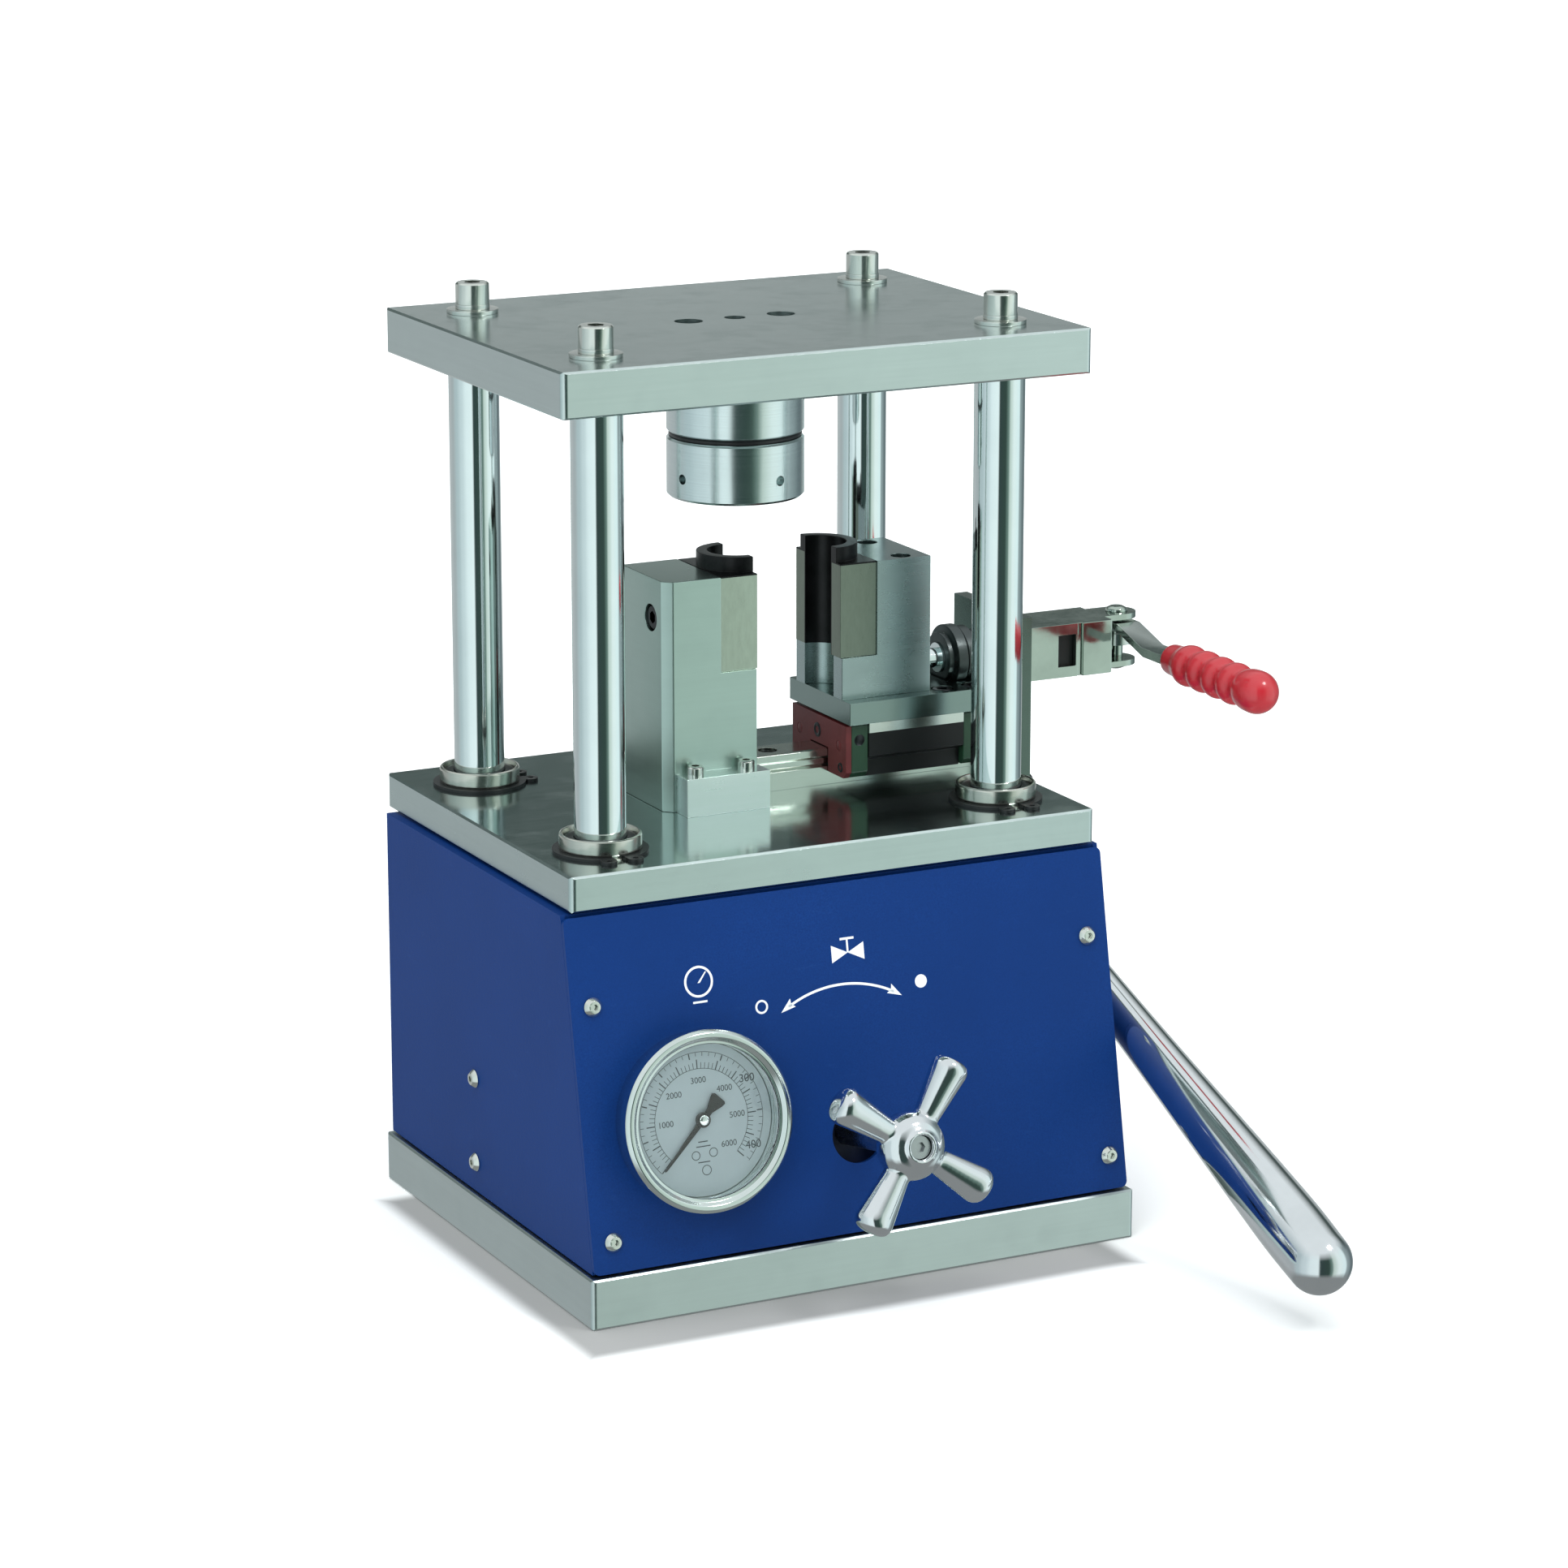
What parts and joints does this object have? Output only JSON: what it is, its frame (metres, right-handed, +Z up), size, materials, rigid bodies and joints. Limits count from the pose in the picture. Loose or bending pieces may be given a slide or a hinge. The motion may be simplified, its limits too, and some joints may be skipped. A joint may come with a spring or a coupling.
{
  "type": "hand hydraulic bench press",
  "caption": "Bench press with hand pump lever, rising table on four columns, upper die, toggle-closed jaws for a cylindrical cell, pressure gauge and release valve.",
  "frame": {"origin": "underside of the base plate, straight below the press axis midway between the four columns", "axes": "+Z up, -Y towards the gauge panel and the operator, +X towards the toggle clamp and the pump lever"},
  "size_m": [0.3015, 0.3371, 0.372],
  "materials": {
    "ground_steel": "surface ground",
    "chrome_rod": "hard chromed and ground",
    "plain_screw": "stainless",
    "washer_steel": "stainless",
    "blue_paint": "fine textured powder coat",
    "inner_steel": "machined, oiled",
    "tank_paint": "satin black",
    "pipe_brass": "drawn tube",
    "gauge_steel": "polished stainless",
    "dial_white": "matte white with black scale",
    "gauge_glass": "clear flat glass",
    "needle_black": "matte black",
    "die_steel": "turned and polished",
    "black_screw": "black oxide",
    "bearing_steel": "bright ground bearing sleeve",
    "circlip_black": "phosphated spring steel",
    "jaw_steel": "ground",
    "insert_steel": "hardened, blackened bore",
    "rail_steel": "ground rail steel",
    "clamp_zinc": "zinc plated",
    "clamp_cast": "cast, dark",
    "carriage_black": "black oxide",
    "cap_green": "moulded",
    "seal_red": "moulded",
    "adapter_steel": "ground",
    "grip_red": "dipped vinyl",
    "polished_chrome": "polished",
    "shaft_steel": "turned"
  },
  "bodies": {
    "frame": {"base_plate": "ground_steel", "guide_columns": "chrome_rod", "base_bolts": "plain_screw", "top_plate": "ground_steel", "top_bolts": "plain_screw", "spring_washers": "washer_steel", "flat_washers": "washer_steel", "housing_shell": "blue_paint", "front_panel": "blue_paint", "panel_screws": "plain_screw", "side_screws": "plain_screw", "press_cylinder": "inner_steel", "oil_tank": "tank_paint", "pump_block": "inner_steel", "shaft_pedestal": "inner_steel", "valve_block": "inner_steel", "oil_pipes": "pipe_brass", "gauge_case": "gauge_steel", "gauge_bezel": "gauge_steel", "gauge_dial": "dial_white", "gauge_glass": "gauge_glass", "die_holder": "die_steel", "crimp_die": "die_steel", "die_screws": "black_screw"},
    "moving_table": {"moving_plate": "ground_steel", "linear_bearings": "bearing_steel", "bearing_circlips": "circlip_black", "press_ram": "chrome_rod", "fixed_jaw": "jaw_steel", "fixed_insert": "insert_steel", "jaw_foot": "jaw_steel", "foot_screws": "plain_screw", "jaw_side_screw": "black_screw", "slide_rail": "rail_steel", "rail_screws": "black_screw", "clamp_bracket": "clamp_zinc", "bracket_screws": "black_screw", "clamp_frame": "clamp_zinc", "clamp_nose": "clamp_cast", "frame_pins": "clamp_zinc"},
    "jaw_carriage": {"carriage": "carriage_black", "carriage_caps": "cap_green", "carriage_seals": "seal_red", "adapter_plate": "adapter_steel", "adapter_screws": "black_screw", "moving_jaw": "jaw_steel", "moving_insert": "insert_steel", "jaw_screws": "black_screw", "clamp_plunger": "chrome_rod", "plunger_nut": "plain_screw"},
    "clamp_handle": {"clamp_lever": "clamp_zinc", "lever_grip": "grip_red"},
    "clamp_link": {"clamp_link": "clamp_zinc"},
    "pump_handle": {"pump_lever": "polished_chrome", "lever_hub": "shaft_steel"},
    "pump_piston": {"pump_plunger": "chrome_rod"},
    "release_valve": {"valve_handle": "polished_chrome", "valve_stem": "shaft_steel"},
    "gauge_pointer": {"gauge_needle": "needle_black"}
  },
  "joints": [
    {"name": "table_lift", "type": "slide", "parent": "frame", "child": "moving_table", "axis": [0, 0, 1], "range_m": [0, 0.02]},
    {"name": "jaw_slide", "type": "slide", "parent": "moving_table", "child": "jaw_carriage", "axis": [-1, 0, 0], "range_m": [0, 0.03626]},
    {"name": "clamp_handle_turn", "type": "hinge", "parent": "moving_table", "child": "clamp_handle", "pos_m": [0.174, 0, 0.215], "axis": [0, 0, 1], "range_deg": [0, 100.2]},
    {"name": "clamp_link_turn", "type": "hinge", "parent": "clamp_handle", "child": "clamp_link", "pos_m": [0.17782, 0.02167, 0.215], "axis": [0, 0, -1], "range_deg": [0, 151.8]},
    {"name": "pump_handle_turn", "type": "hinge", "parent": "frame", "child": "pump_handle", "pos_m": [0.128, 0.01, 0.1216], "axis": [-1, 0, 0], "range_deg": [0, 50]},
    {"name": "pump_piston_slide", "type": "slide", "parent": "frame", "child": "pump_piston", "axis": [0, 0, 1], "range_m": [0, 0.02354]},
    {"name": "valve_turn", "type": "hinge", "parent": "frame", "child": "release_valve", "pos_m": [-0.0005, -0.15008, 0.06634], "axis": [0, -0.982, 0.1891], "range_deg": [0, 270]},
    {"name": "needle_turn", "type": "hinge", "parent": "frame", "child": "gauge_pointer", "pos_m": [-0.0686, -0.10956, 0.07473], "axis": [0, 0.982, -0.1891], "range_deg": [0, 270]}
  ],
  "couplings": [
    {"joint": "clamp_handle_turn", "follows": "jaw_slide", "rad_per_m": 48.134},
    {"joint": "clamp_link_turn", "follows": "jaw_slide", "rad_per_m": 72.903},
    {"joint": "pump_piston_slide", "follows": "pump_handle_turn", "m_per_rad": 0.026861}
  ]
}
